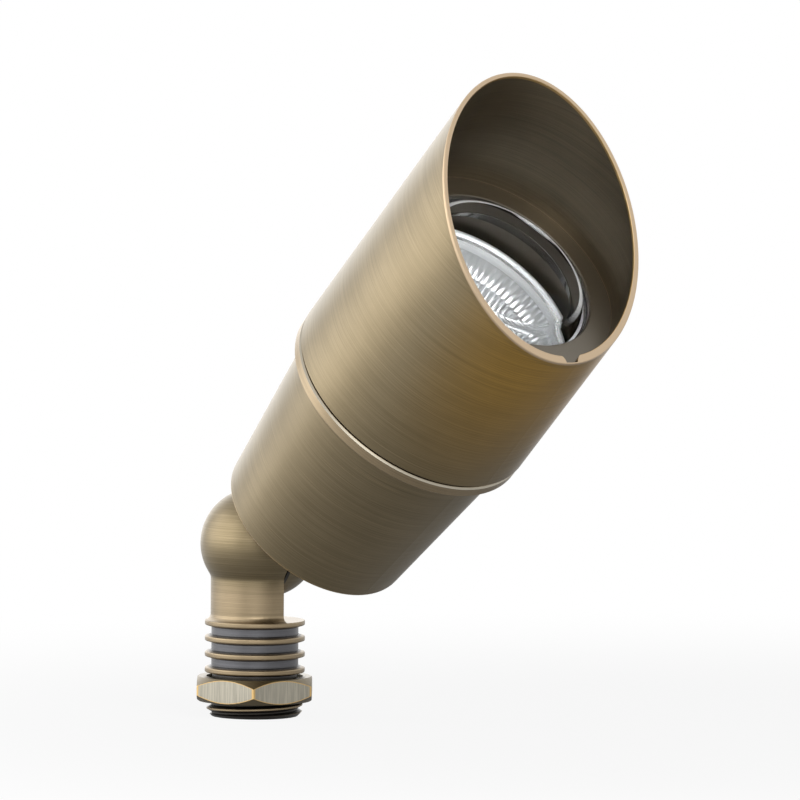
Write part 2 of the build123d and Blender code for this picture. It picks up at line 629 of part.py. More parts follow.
def lamp_reflector():
    """Glass reflector shell of the lamp."""
    rim_foot = LAMP_FRONT - LAMP_RIM_HEIGHT
    outer = LAMP_DIA / 2
    inner = outer - LAMP_WALL
    neck = LAMP_NECK_DIA / 2
    throat = LAMP_THROAT_DIA / 2
    rim = Polyline((outer, rim_foot), (outer, LAMP_FRONT), (inner, LAMP_FRONT), (inner, rim_foot))
    bowl = SagittaArc((inner, rim_foot), (throat, LAMP_NECK + LAMP_WALL), LAMP_BULGE)
    foot = Polyline((throat, LAMP_NECK + LAMP_WALL), (throat, LAMP_NECK), (neck, LAMP_NECK))
    back = SagittaArc((neck, LAMP_NECK), (outer, rim_foot), -LAMP_BULGE)
    return HEAD_AXIS * revolve(Plane.XZ * make_face(rim + bowl + foot + back), Axis.Z)


def lamp_cover_glass():
    """Front glass of the lamp."""
    top = LAMP_FRONT - COVER_GLASS_RECESS
    diameter = LAMP_DIA - 2 * (LAMP_WALL + FACE_CLEARANCE)
    return HEAD_AXIS * rod(diameter, top - COVER_GLASS_THICKNESS, top)


def lamp_capsule():
    """Light source at the bottom of the reflector."""
    shoulder = LAMP_NECK + CAPSULE_HEIGHT - CAPSULE_DIA / 2
    return HEAD_AXIS * domed_rod(CAPSULE_DIA, shoulder, LAMP_NECK)


def lamp_base():
    """Ceramic base of the lamp."""
    return HEAD_AXIS * rounded_block(
        LAMP_BASE_LENGTH, LAMP_BASE_WIDTH, LAMP_BASE_CORNER, LAMP_FOOT, LAMP_NECK
    )


def lamp_pins():
    """Two contact pins of the lamp."""
    pin = rod(PIN_DIA, LAMP_FOOT - PIN_LENGTH, LAMP_FOOT)
    pin = fillet(pin.edges().group_by(Axis.Z)[0], PIN_DIA / 4)
    return HEAD_AXIS * (Part() + pair_along_y(pin, PIN_SPACING))


def lamp_socket():
    """Ceramic two-pin socket."""
    block = rounded_block(SOCKET_LENGTH, SOCKET_WIDTH, SOCKET_CORNER, SOCKET_FOOT, SOCKET_TOP)
    ways = rod(CONTACT_DIA + 2 * FACE_CLEARANCE, CONTACT_FOOT, SOCKET_TOP)
    ways += rod(LEAD_DIA + 2 * FACE_CLEARANCE, SOCKET_FOOT, CONTACT_FOOT)
    for way in pair_along_y(ways, PIN_SPACING):
        block -= way
    hole_dia = SOCKET_SCREW_DIA + 2 * RUNNING_CLEARANCE
    hole = Rot(0, 90, 0) * rod(hole_dia, BRACKET_FACE - SOCKET_SCREW_HOLD, BRACKET_FACE)
    for screw_place in pair_along_y(hole, SOCKET_SCREW_SPACING):
        block -= Pos(0, 0, SOCKET_SCREW_LEVEL) * screw_place
    return HEAD_AXIS * block


def socket_contacts():
    """Two spring sleeves that take the lamp's pins."""
    sleeve = tube(CONTACT_DIA, CONTACT_BORE_DIA, CONTACT_FOOT, SOCKET_TOP)
    return HEAD_AXIS * (Part() + pair_along_y(sleeve, PIN_SPACING))


def socket_bracket():
    """Bent strip that carries the socket on the housing's floor."""
    foot = Pos(BRACKET_FACE + BRACKET_FOOT / 2, 0, FLOOR + BRACKET_THICKNESS / 2) * Box(
        BRACKET_FOOT, BRACKET_WIDTH, BRACKET_THICKNESS
    )
    height = BRACKET_TOP - FLOOR
    upright = Pos(BRACKET_FACE + BRACKET_THICKNESS / 2, 0, FLOOR + height / 2) * Box(
        BRACKET_THICKNESS, BRACKET_WIDTH, height
    )
    strip = foot + upright
    foot_hole = rod(BRACKET_SCREW_DIA + 2 * LOOSE_CLEARANCE, FLOOR, FLOOR + BRACKET_THICKNESS)
    for screw_place in pair_along_y(foot_hole, BRACKET_SCREW_SPACING):
        strip -= Pos(BRACKET_SCREW_PLACE, 0, 0) * screw_place
    side_hole = rod(SOCKET_SCREW_DIA + 2 * LOOSE_CLEARANCE, BRACKET_FACE, BRACKET_FACE + BRACKET_THICKNESS)
    for screw_place in pair_along_y(Rot(0, 90, 0) * side_hole, SOCKET_SCREW_SPACING):
        strip -= Pos(0, 0, SOCKET_SCREW_LEVEL) * screw_place
    return HEAD_AXIS * strip


def bracket_screws():
    """Two screws that hold the bracket to the housing."""
    screw = small_screw(BRACKET_SCREW_DIA, BRACKET_SCREW_HOLD, BRACKET_THICKNESS)
    seat = Pos(BRACKET_SCREW_PLACE, 0, FLOOR + BRACKET_THICKNESS)
    return HEAD_AXIS * (Part() + pair_along_y(seat * screw, BRACKET_SCREW_SPACING))


def socket_screws():
    """Two screws that hold the socket to the bracket."""
    screw = small_screw(SOCKET_SCREW_DIA, SOCKET_SCREW_HOLD, BRACKET_THICKNESS)
    seat = Pos(BRACKET_FACE + BRACKET_THICKNESS, 0, SOCKET_SCREW_LEVEL) * Rot(0, 90, 0)
    return HEAD_AXIS * (Part() + pair_along_y(seat * screw, SOCKET_SCREW_SPACING))


def socket_leads():
    """Two insulated leads from the socket to their splices."""
    path = FilletPolyline(
        (0, 0, CONTACT_FOOT), (0, 0, LEAD_LEVEL), (-LEAD_REACH, 0, LEAD_LEVEL), radius=LEAD_BEND_RADIUS
    )
    section = Plane(origin=path @ 0, z_dir=path % 0) * Circle(LEAD_DIA / 2)
    lead = sweep(section, path=path)
    return HEAD_AXIS * (Part() + pair_along_y(lead, PIN_SPACING))


def lead_splices():
    """Two crimp splices on the ends of the leads, open towards the supply."""
    start = LEAD_REACH - SPLICE_OVERLAP
    splice = tube(SPLICE_DIA, LEAD_DIA + 2 * FACE_CLEARANCE, start, start + SPLICE_LENGTH)
    splice = Pos(0, 0, LEAD_LEVEL) * Rot(0, -90, 0) * splice
    return HEAD_AXIS * (Part() + pair_along_y(splice, PIN_SPACING))


PIECES = [
    stem,
    locknut,
    wire_bushing,
    knuckle_seal,
    pivot_screw,
    pivot_washer,
    knuckle_ear,
    ear_gasket,
    ear_nut,
    housing,
    shroud_seals,
    shroud,
    lens,
    lens_gasket,
    lens_snap_ring,
    lamp_reflector,
    lamp_cover_glass,
    lamp_capsule,
    lamp_base,
    lamp_pins,
    lamp_socket,
    socket_contacts,
    socket_bracket,
    bracket_screws,
    socket_screws,
    socket_leads,
    lead_splices,
]


def main():
    """Build every piece and write one STEP file for each."""
    os.makedirs("parts", exist_ok=True)
    for piece in PIECES:
        export_step(piece(), f"parts/{piece.__name__}.step")


if __name__ == "__main__":
    main()
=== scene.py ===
"""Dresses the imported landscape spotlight: brushed brass, a faceted lamp behind glass, and a plain studio."""
import json
import math
import bpy
from bpy.props import FloatProperty, FloatVectorProperty, IntProperty, PointerProperty
from mathutils import Matrix, Vector


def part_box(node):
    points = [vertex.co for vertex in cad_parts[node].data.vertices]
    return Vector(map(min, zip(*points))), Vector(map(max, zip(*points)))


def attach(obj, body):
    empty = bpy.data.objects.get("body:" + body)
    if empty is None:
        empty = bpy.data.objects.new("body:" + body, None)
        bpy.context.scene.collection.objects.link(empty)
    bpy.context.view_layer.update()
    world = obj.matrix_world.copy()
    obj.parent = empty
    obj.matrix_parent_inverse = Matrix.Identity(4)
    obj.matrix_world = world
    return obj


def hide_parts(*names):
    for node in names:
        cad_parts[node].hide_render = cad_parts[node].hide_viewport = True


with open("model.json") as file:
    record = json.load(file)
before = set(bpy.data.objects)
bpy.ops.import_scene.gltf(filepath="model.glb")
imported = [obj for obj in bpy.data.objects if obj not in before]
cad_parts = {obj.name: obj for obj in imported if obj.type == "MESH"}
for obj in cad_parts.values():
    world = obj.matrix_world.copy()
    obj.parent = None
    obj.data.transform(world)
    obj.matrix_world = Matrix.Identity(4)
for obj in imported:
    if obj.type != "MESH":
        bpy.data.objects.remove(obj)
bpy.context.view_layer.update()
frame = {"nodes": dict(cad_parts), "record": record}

bl_info = {
    "name": "Landscape Spotlight",
    "version": (1, 0, 0),
    "blender": (4, 5, 0),
    "location": "3D View > Sidebar > Spotlight",
    "description": "Finishes the pieces of a landscape spotlight and sets its studio",
    "category": "Object",
}

MM = 0.001

# Frame of the lamp head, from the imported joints
JOINTS = {joint["name"]: joint for joint in frame["record"]["behaviour"]["joints"]}
PIVOT = Vector(JOINTS["knuckle_tilt"]["pos_m"])
HEAD_PLACE = Vector(JOINTS["shroud_turn"]["pos_m"])
HEAD_AXIS = Vector(JOINTS["shroud_turn"]["axis"])
HEAD_TILT = math.atan2(HEAD_AXIS.x, HEAD_AXIS.z)
STEM_PLACE = Vector((0, 0, 0))
STEM_AXIS = Vector((0, 0, 1))

# Mouth of the shroud, as the CAD cuts it
CUT_ANGLE = math.radians(28.2)
SHROUD_TURN = math.radians(5.6)

# Stem and locknut, in millimetres
THREAD_CREST = 10.65
RIB_FOOT = 9.35
BOTTOM_RIB = 10.3
RIB_SPACING = 3.5
RIB_TOP = 20.9
RIB_ROOT = 9.65
RIB_TIP = 11.1
BALL_FOOT = 29.5
NUT_FACE_RADIUS = 12.5
NUT_CORNER_RADIUS = 14.66
NUT_CHAMFER_SLOPE = math.tan(math.radians(38.0))

# Head, in millimetres
COLLAR_GAP = 0.55
COLLAR_HEIGHT = 2.8
SHELF_RISE = 1.25
REAR_FACE_TOLERANCE = 0.02
# Radii and far direction of the painted highlight line on the lens crown's edge
CROWN_FLAT_RADIUS = 17.7
CROWN_EDGE_RADIUS = 18.7
BACK_OF_HEAD = (-0.575, 0.818, 0)

# Knuckle seam: distances from the pivot's middle where its painted shade starts and is full, in millimetres
SEAM_FADE = (1.1, 0.85)

# Brush lines of the brass
BRUSH_WANDER = 0.8
WANDER_SIZE = 30.0
BRUSH_DEPTH = 0.012
BRUSH_SHIFT = (0.02, 0.03, 0.01)
BROAD_LENGTH_RATIO = 2.5
BROAD_WIDTH_RATIO = 5.0
BROAD_SEED = 7.0
SCRATCH_WIDTH_RATIO = 0.8
SCRATCH_SEED = 31.0
SCRATCH_LIMITS = (0.63, 0.74)
SCRATCH_WEIGHT = 0.55
BLOT_SIZE = 16.0
FINE_SHARE = 0.6
BROAD_SHARE = 0.15
BLOT_SHARE = 0.25
TONE_LIMITS = (0.22, 0.78)
SHADE_SWING = 1.6
ROUGHNESS_SWING = 0.16
ANISOTROPY = 0.25
COAT_ROUGHNESS = 0.38

# Other patterns
NOISE_ROUGHNESS = 0.6
BUMP_STRENGTH = 0.5
UPRIGHT_LINES = (4.5, 4.5, 0.12)
NUT_LINE_SHADE = 0.7
ROLLING_LINES = (3.0, 3.0, 0.12)

# Glass and mirror
LENS_INDEX = 1.12
COVER_INDEX = 1.45
ETCHED_ROUGHNESS = 0.25
# Weight and fade of the painted highlight line on the lens crown
CROWN_HIGHLIGHT_WEIGHT = 0.3
CROWN_HIGHLIGHT_FADE = 6.0
FACET_METAL = 0.4
FACET_ROUGHNESS = 0.12
RIM_ROUGHNESS = 0.45

# Inset of each step of a facet's hollow, in millimetres, and its share of the depth
FACET_STEPS = ((0.25, 0.6), (0.22, 0.4))
MERGE_DISTANCE = 0.001 * MM

# Softboxes in metres: name, place from the head's middle, side, radiance, whether reflections show it
HEAD_MIDDLE = 0.06
SOFTBOXES = (
    ("Left softbox", (-0.24, -0.38, 0.03), 0.7, 1.65, True),
    ("Rear softbox", (-0.5, 0.22, 0.06), 0.45, 0.9, True),
    ("Front softbox", (1.65, -1.4, 0.7), 1.3, 2.2, True),
    ("Mouth softbox", (0.65, -0.14, 0.21), 0.4, 13.0, False),
)
TOP_PLACE = (0.0, -0.1, 1.2)
TOP_TARGET = (0.05, 0, 0)
TOP_SIDE = 0.4
TOP_RADIANCE = 2.0

# Camera sensor in millimetres, and floor in metres
SENSOR_WIDTH = 36.0
FLOOR_DROP = 0.1 * MM
# Middle of the floor's painted shadow, in metres
SHADOW_PLACE = (0.08, 0.06, 0)

# Share of plain white that the floor shows, close to the object and far from it, to camera and mirrors
CAMERA_SHARES = (0.9, 1.0)
MIRROR_SHARES = (0.05, 0.9)


def head_places(node):
    """Level and radius of each vertex of a node about the head's axis, in millimetres."""
    places = [vertex.co - HEAD_PLACE for vertex in frame["nodes"][node].data.vertices]
    levels = [place.dot(HEAD_AXIS) for place in places]
    return [(level / MM, (place - HEAD_AXIS * level).length / MM) for place, level in zip(places, levels)]


def head_span(node):
    """Lowest level, highest level and largest radius of a node about the head's axis, in millimetres."""
    levels, radii = zip(*head_places(node))
    return min(levels), max(levels), max(radii)


REAR_FACE = head_span("housing")[0]
REAR_LIMIT = REAR_FACE + REAR_FACE_TOLERANCE
REAR_RADIUS = max(radius for level, radius in head_places("housing") if level < REAR_LIMIT)
SHROUD_FOOT, SHROUD_TIP, SHROUD_RADIUS = head_span("shroud")
LAMP_FOOT, LAMP_FRONT, LAMP_RADIUS = head_span("lamp_reflector")
GASKET_TOP = head_span("lens_gasket")[1]
CROWN_TOP = head_span("lens")[1]
CUT_LEVEL = SHROUD_TIP - SHROUD_RADIUS * math.tan(CUT_ANGLE)
COLLAR_TOP = SHROUD_FOOT - COLLAR_GAP
COLLAR_FOOT = COLLAR_TOP - COLLAR_HEIGHT
SHELF_TOP = GASKET_TOP + SHELF_RISE


class BrassFinish(bpy.types.PropertyGroup):
    """Colours and brushing of the aged brass."""

    aged: FloatVectorProperty(
        name="Aged brass", description="Darkened brass in the brush lines",
        subtype="COLOR", size=3, min=0, max=1, default=(0.165, 0.124, 0.058),
    )
    rubbed: FloatVectorProperty(
        name="Rubbed brass", description="Lighter brass on the crests of the brush lines",
        subtype="COLOR", size=3, min=0, max=1, default=(0.28, 0.218, 0.122),
    )
    scratch: FloatVectorProperty(
        name="Scratch", description="Bright brass in single scratches",
        subtype="COLOR", size=3, min=0, max=1, default=(0.48, 0.37, 0.2),
    )
    gold: FloatVectorProperty(
        name="Bare edge", description="Golden brass where an edge is rubbed bare",
        subtype="COLOR", size=3, min=0, max=1, default=(0.78, 0.52, 0.2),
    )
    tan: FloatVectorProperty(
        name="Machined face", description="Pale brass of the cut rim, the collar and the neck",
        subtype="COLOR", size=3, min=0, max=1, default=(0.56, 0.42, 0.27),
    )
    # Painted highlight: the pale line along the collar's top edge
    pale: FloatVectorProperty(
        name="Pale line", description="Painted highlight line along the top of the collar",
        subtype="COLOR", size=3, min=0, max=1, default=(0.42, 0.38, 0.3),
    )
    warm: FloatVectorProperty(
        name="Warm patina", description="Brown patina near the short side of the shroud",
        subtype="COLOR", size=3, min=0, max=1, default=(0.42, 0.24, 0.035),
    )
    recess: FloatVectorProperty(
        name="Recess", description="Grey brass in the grooves of the stem",
        subtype="COLOR", size=3, min=0, max=1, default=(0.125, 0.125, 0.135),
    )
    shelf: FloatVectorProperty(
        name="Shelf", description="Grey brown brass of the shelf over the lens",
        subtype="COLOR", size=3, min=0, max=1, default=(0.15, 0.13, 0.098),
    )
    bore: FloatVectorProperty(
        name="Bore", description="Brass inside the shroud",
        subtype="COLOR", size=3, min=0, max=1, default=(0.24, 0.195, 0.127),
    )
    nut_flat: FloatVectorProperty(
        name="Nut flat", description="Pale brass on the flats of the locknut",
        subtype="COLOR", size=3, min=0, max=1, default=(0.56, 0.52, 0.42),
    )
    # Painted shade: the dark colour laid in seams, gaps, groove corners, under the lens and at the roots of
    # the thread
    painted_shade: FloatVectorProperty(
        name="Painted shade", description="Dark painted shade in seams, corners and the roots of the thread",
        subtype="COLOR", size=3, min=0, max=1, default=(0.03, 0.025, 0.018),
    )
    roughness: FloatProperty(
        name="Roughness", description="Blur of the brushed surface",
        subtype="FACTOR", min=0, max=1, default=0.41,
    )
    lacquer: FloatProperty(
        name="Lacquer", description="Weight of the clear lacquer",
        subtype="FACTOR", min=0, max=1, default=0.7,
    )
    brush_width: FloatProperty(
        name="Brush width", description="Width of one brush line", unit="LENGTH", min=0, default=0.15 * MM,
    )
    brush_length: FloatProperty(
        name="Brush length", description="Length of one brush line", unit="LENGTH", min=0, default=26.0 * MM,
    )


class LampSizes(bpy.types.PropertyGroup):
    """Facets of the lamp's reflector."""

    facets: IntProperty(name="Facets", description="Facets in one row", min=12, max=200, default=96)
    rows: IntProperty(name="Rows", description="Rows of facets down the bowl", min=2, max=20, default=6)
    wall: FloatProperty(
        name="Wall", description="Thickness of the reflector's glass", unit="LENGTH", min=0, default=1.4 * MM,
    )
    rim: FloatProperty(
        name="Rim", description="Height of the plain rim above the facets",
        unit="LENGTH", min=0, default=4.0 * MM,
    )
    throat: FloatProperty(
        name="Throat", description="Radius of the opening at the bottom",
        unit="LENGTH", min=0, default=6.0 * MM,
    )
    bulge: FloatProperty(
        name="Bulge", description="How far the bowl swells past a straight cone",
        unit="LENGTH", default=0.5 * MM,
    )
    dish: FloatProperty(
        name="Dish", description="Depth of one facet's hollow", unit="LENGTH", default=0.45 * MM,
    )


class StudioSetup(bpy.types.PropertyGroup):
    """Camera, floor and ambient light."""

    azimuth: FloatProperty(
        name="Azimuth", description="Camera's place round the light",
        subtype="ANGLE", default=math.radians(47.97),
    )
    elevation: FloatProperty(
        name="Elevation", description="Camera's height angle", subtype="ANGLE", default=math.radians(3.686),
    )
    roll: FloatProperty(
        name="Roll", description="Camera's turn about its own axis",
        subtype="ANGLE", default=math.radians(0.406),
    )
    distance: FloatProperty(
        name="Distance", description="Camera to pivot", unit="LENGTH", default=1.8301,
    )
    aim_right: FloatProperty(
        name="Aim right", description="Middle of the frame, right of the pivot",
        unit="LENGTH", default=32.04 * MM,
    )
    aim_up: FloatProperty(
        name="Aim up", description="Middle of the frame, above the pivot", unit="LENGTH", default=31.66 * MM,
    )
    focal_length: FloatProperty(
        name="Focal length", description="Lens of the camera in millimetres", min=1, default=371.5,
    )
    floor_colour: FloatVectorProperty(
        name="Floor", description="Pale floor",
        subtype="COLOR", size=3, min=0, max=1, default=(0.34, 0.34, 0.34),
    )
    floor_size: FloatProperty(name="Floor size", description="Side of the floor", unit="LENGTH", default=6.0)
    shadow_reach: FloatProperty(
        name="Shadow reach", description="Distance at which the floor turns plain white",
        unit="LENGTH", default=0.3,
    )
    ambient: FloatProperty(name="Ambient", description="Light from all round", min=0, max=2, default=0.12)


def rgba(colour):
    """A colour with full opacity."""
    return (*colour, 1.0)


class Surface:
    """A node material being put together, with its point in millimetres about the piece's own axis."""

    def __init__(self, name, place=STEM_PLACE, tilt=0.0):
        self.material = bpy.data.materials.new(name)
        self.material.use_nodes = True
        self.tree = self.material.node_tree
        self.shader = self.tree.nodes["Principled BSDF"]
        where = self.add("ShaderNodeTexCoord")
        self.normal = where.outputs["Normal"]
        mapping = {
            "Vector": where.outputs["Object"],
            "Location": place,
            "Rotation": (0, tilt, 0),
            "Scale": (MM, MM, MM),
        }
        self.point = self.add("ShaderNodeMapping", mapping, vector_type="TEXTURE").outputs[0]
        axes = self.add("ShaderNodeSeparateXYZ", {0: self.point})
        self.x, self.y, self.z = axes.outputs
        squares = [self.calc("POWER", side, 2) for side in (self.x, self.y)]
        self.radius = self.calc("SQRT", self.calc("ADD", *squares))

    def add(self, kind, inputs=None, **settings):
        """A new node with its settings, values and links."""
        node = self.tree.nodes.new(kind)
        for name, value in settings.items():
            setattr(node, name, value)
        for key, value in (inputs or {}).items():
            if isinstance(value, bpy.types.NodeSocket):
                self.tree.links.new(value, node.inputs[key])
            else:
                node.inputs[key].default_value = value
        return node

    def calc(self, operation, first, second=0.0):
        """One sum on two values."""
        return self.add("ShaderNodeMath", {0: first, 1: second}, operation=operation).outputs[0]

    def both(self, first, second):
        """What lies in two masks at once."""
        return self.calc("MULTIPLY", first, second)

    def join(self, operation, first, second):
        """One sum on two vectors, as a node."""
        return self.add("ShaderNodeVectorMath", {0: first, 1: second}, operation=operation)

    def along(self, direction, start=(0, 0, 0)):
        """Distance from a start along a direction."""
        moved = self.join("SUBTRACT", self.point, start).outputs[0]
        return self.join("DOT_PRODUCT", moved, direction).outputs["Value"]

    def ramp(self, value, low, high, top=1.0):
        """Nothing at low, top at high, smooth between them."""
        inputs = {"Value": value, "From Min": low, "From Max": high, "To Max": top}
        return self.add("ShaderNodeMapRange", inputs, interpolation_type="SMOOTHSTEP").outputs[0]

    def band(self, value, low, high, edge):
        """One between low and high, falling off over edge on both sides."""
        return self.both(self.ramp(value, low - edge, low), self.ramp(value, high + edge, high))

    def blend(self, factor, under, over):
        """One colour over another."""
        return self.add("ShaderNodeMix", {0: factor, 6: under, 7: over}, data_type="RGBA").outputs[2]

    def two_tone(self, pattern, dark, light):
        """A colour that follows a pattern from dark to light."""
        return self.blend(pattern, rgba(dark), rgba(light))

    def noise(self, vector, detail=2.0, scale=1.0):
        """Soft noise from 0 to 1."""
        inputs = {"Vector": vector, "Scale": scale, "Detail": detail, "Roughness": NOISE_ROUGHNESS}
        return self.add("ShaderNodeTexNoise", inputs).outputs[0]

    def clouds(self, size, detail=3.0):
        """Noise in blots of one size."""
        return self.noise(self.point, detail, 1 / size)

    def streaks(self, length, width, seed=0.0):
        """Noise drawn out round the axis, in lines of one length and width that wander a little."""
        drift = self.calc("MULTIPLY", self.clouds(WANDER_SIZE, 1.0), BRUSH_WANDER)
        level = self.calc("ADD", self.z, drift)
        line = self.add("ShaderNodeCombineXYZ", {0: self.x, 1: self.y, 2: level}).outputs[0]
        stretch = {0: line, 1: (1 / length, 1 / length, 1 / width), 2: (seed, seed, seed)}
        drawn = self.add("ShaderNodeVectorMath", stretch, operation="MULTIPLY_ADD").outputs[0]
        return self.noise(drawn)

    def grain_along(self, axis):
        """Blurs reflections across the brush lines round an axis; the shift serves faces square to it."""
        across = self.join("CROSS_PRODUCT", axis, self.normal).outputs[0]
        steady = self.join("ADD", across, BRUSH_SHIFT).outputs[0]
        turned = self.add("ShaderNodeVectorTransform", {0: steady}, convert_from="OBJECT", convert_to="WORLD")
        self.tree.links.new(turned.outputs[0], self.shader.inputs["Tangent"])

    def close(self, colour, roughness, height=None, depth=0.0):
        """Links the colour, roughness and bump to the shader."""
        self.tree.links.new(colour, self.shader.inputs["Base Color"])
        self.tree.links.new(roughness, self.shader.inputs["Roughness"])
        if height is not None:
            inputs = {"Height": height, "Distance": depth * MM, "Strength": BUMP_STRENGTH}
            bump = self.add("ShaderNodeBump", inputs)
            self.tree.links.new(bump.outputs[0], self.shader.inputs["Normal"])
        return self.material


class BrushedBrass(Surface):
    """Aged brass brushed round an axis."""

    def __init__(self, name, finish, place, axis, tilt):
        super().__init__(name, place, tilt)
        width = finish.brush_width / MM
        length = finish.brush_length / MM
        self.fine = self.streaks(length, width)
        broad = self.streaks(BROAD_LENGTH_RATIO * length, BROAD_WIDTH_RATIO * width, BROAD_SEED)
        lines = self.calc("MULTIPLY", self.fine, FINE_SHARE)
        lines = self.calc("ADD", lines, self.calc("MULTIPLY", broad, BROAD_SHARE))
        blots = self.calc("MULTIPLY", self.clouds(BLOT_SIZE), BLOT_SHARE)
        self.tone = self.calc("ADD", lines, blots)
        self.colour = self.two_tone(self.ramp(self.tone, *TONE_LIMITS), finish.aged, finish.rubbed)
        scratches = self.streaks(length, SCRATCH_WIDTH_RATIO * width, SCRATCH_SEED)
        self.cover(self.ramp(scratches, *SCRATCH_LIMITS), finish.scratch, SCRATCH_WEIGHT)
        swing = self.calc("MULTIPLY", self.tone, -ROUGHNESS_SWING)
        self.roughness = self.calc("ADD", swing, finish.roughness + ROUGHNESS_SWING / 2)
        self.shader.inputs["Metallic"].default_value = 1.0
        self.shader.inputs["Anisotropic"].default_value = ANISOTROPY
        self.shader.inputs["Coat Weight"].default_value = finish.lacquer
        self.shader.inputs["Coat Roughness"].default_value = COAT_ROUGHNESS
        self.grain_along(axis)

    def cover(self, mask, colour, weight=1.0):
        """Lays a colour over what is there."""
        self.colour = self.blend(self.calc("MULTIPLY", mask, weight), self.colour, rgba(colour))

    def tint(self, mask, colour, weight=1.0):
        """Lays a colour over what is there and keeps the brush lines in it."""
        shade = self.calc("ADD", self.calc("MULTIPLY", self.tone, SHADE_SWING), 1 - SHADE_SWING / 2)
        inputs = {0: tuple(colour), "Scale": shade}
        lined = self.add("ShaderNodeVectorMath", inputs, operation="SCALE").outputs[0]
        self.colour = self.blend(self.calc("MULTIPLY", mask, weight), self.colour, lined)

    def done(self):
        """The finished brass."""
        return self.close(self.colour, self.roughness, self.fine, BRUSH_DEPTH)


# Finishes of the brass pieces, with offsets from a named level or radius in millimetres
def shroud_brass(finish):
    """Brass of the shroud: pale cut rim, warm patina near the short side, grey shelf with a painted highlight
    at its corner, painted shade under the lens.
    """
    brass = BrushedBrass("Shroud brass", finish, HEAD_PLACE, HEAD_AXIS, HEAD_TILT)
    slant = math.sin(CUT_ANGLE)
    normal = (slant * math.cos(SHROUD_TURN), slant * math.sin(SHROUD_TURN), math.cos(CUT_ANGLE))
    rim = brass.along(normal, (0, 0, CUT_LEVEL))
    mid_wall = SHROUD_RADIUS - 0.6
    outside = brass.ramp(brass.radius, mid_wall, mid_wall + 0.3)
    inside = brass.ramp(brass.radius, mid_wall, mid_wall - 0.15)
    short_side = brass.ramp(brass.calc("DIVIDE", brass.x, SHROUD_RADIUS), 0.35, 1.0)
    near_rim = brass.ramp(rim, -45.0, -3.0)
    brass.tint(brass.both(brass.both(short_side, near_rim), outside), finish.warm)
    brass.tint(inside, finish.bore)
    shelf = brass.ramp(brass.z, SHELF_TOP + 0.12, SHELF_TOP + 0.03)
    brass.cover(brass.both(inside, shelf), finish.shelf)
    # Painted shade inside the shroud under the lens
    under_lens = brass.ramp(brass.z, GASKET_TOP, GASKET_TOP - 0.5)
    brass.cover(brass.both(inside, under_lens), finish.painted_shade, weight=0.6)
    # Painted highlight: a pale line where the wall meets the shelf
    shelf_corner_highlight = brass.band(brass.z, SHELF_TOP + 0.09, SHELF_TOP + 0.22, 0.05)
    brass.cover(brass.both(inside, shelf_corner_highlight), finish.tan, weight=0.5)
    cut_face = brass.ramp(rim, -0.4, -0.1)
    brass.cover(cut_face, finish.tan)
    inner_edge = brass.band(rim, -0.35, 0.1, 0.1)
    brass.cover(brass.both(inside, inner_edge), finish.gold, weight=0.8)
    outer_edge = brass.band(rim, -1.0, -0.4, 0.2)
    brass.cover(brass.both(outside, outer_edge), finish.aged, weight=0.2)
    return brass.done()


def housing_brass(finish):
    """Brass of the housing: pale collar with a painted highlight on its top edge, painted shade beside it,
    golden rear edge.
    """
    brass = BrushedBrass("Housing brass", finish, HEAD_PLACE, HEAD_AXIS, HEAD_TILT)
    collar = brass.band(brass.z, COLLAR_FOOT + 0.05, COLLAR_TOP, 0.1)
    brass.tint(collar, finish.tan, weight=0.35)
    # Painted shade in a band under the collar
    under_collar = brass.band(brass.z, COLLAR_FOOT - 0.5, COLLAR_FOOT - 0.05, 0.3)
    brass.cover(under_collar, finish.painted_shade, weight=0.45)
    # Painted highlight along the collar's top edge
    collar_highlight_line = brass.band(brass.z, COLLAR_TOP - 0.4, COLLAR_TOP - 0.1, 0.08)
    brass.cover(collar_highlight_line, finish.pale)
    # Painted shade on the spigot in the gap over the collar
    spigot_shade = brass.ramp(brass.z, COLLAR_TOP - 0.03, COLLAR_TOP + 0.03)
    brass.cover(spigot_shade, finish.painted_shade)
    rear = brass.ramp(brass.z, REAR_FACE + 0.8, REAR_FACE + 0.25)
    rounded = brass.ramp(brass.radius, REAR_RADIUS - 0.5, REAR_RADIUS - 0.1)
    brass.cover(brass.both(rear, rounded), finish.gold, weight=0.55)
    return brass.done()


def stem_brass(finish):
    """Brass of the stem: pale neck, grey grooves with painted shade in their corners, painted shade at the
    roots of the thread.
    """
    brass = BrushedBrass("Stem brass", finish, STEM_PLACE, STEM_AXIS, 0.0)
    neck = brass.ramp(brass.z, BALL_FOOT + 1.5, BALL_FOOT - 2.5)
    brass.tint(neck, finish.tan, weight=0.3)
    ribbed = brass.ramp(brass.z, RIB_TOP, RIB_TOP - 0.4)
    groove = brass.both(ribbed, brass.ramp(brass.radius, RIB_TIP - 0.55, RIB_ROOT + 0.1))
    brass.tint(groove, finish.recess)
    # Painted shade in the corners of each groove, next to the ribs
    step = brass.calc("DIVIDE", brass.calc("SUBTRACT", brass.z, BOTTOM_RIB), RIB_SPACING)
    off_middle = brass.calc("ABSOLUTE", brass.calc("SUBTRACT", brass.calc("FRACT", step), 0.5))
    groove_corner = brass.ramp(off_middle, 0.17, 0.27)
    brass.cover(brass.both(groove, groove_corner), finish.painted_shade)
    # Painted shade at the roots of the thread
    threaded = brass.ramp(brass.z, RIB_FOOT, RIB_FOOT - 0.2)
    root = brass.both(threaded, brass.ramp(brass.radius, THREAD_CREST - 0.15, THREAD_CREST - 0.5))
    brass.cover(root, finish.painted_shade)
    return brass.done()


def ear_brass(finish):
    """Brass of the head's half of the knuckle, with painted shade along the seam."""
    brass = BrushedBrass("Knuckle brass", finish, PIVOT, HEAD_AXIS, HEAD_TILT)
    # Painted shade along the seam
    brass.cover(brass.ramp(brass.y, *SEAM_FADE), finish.painted_shade)
    return brass.done()


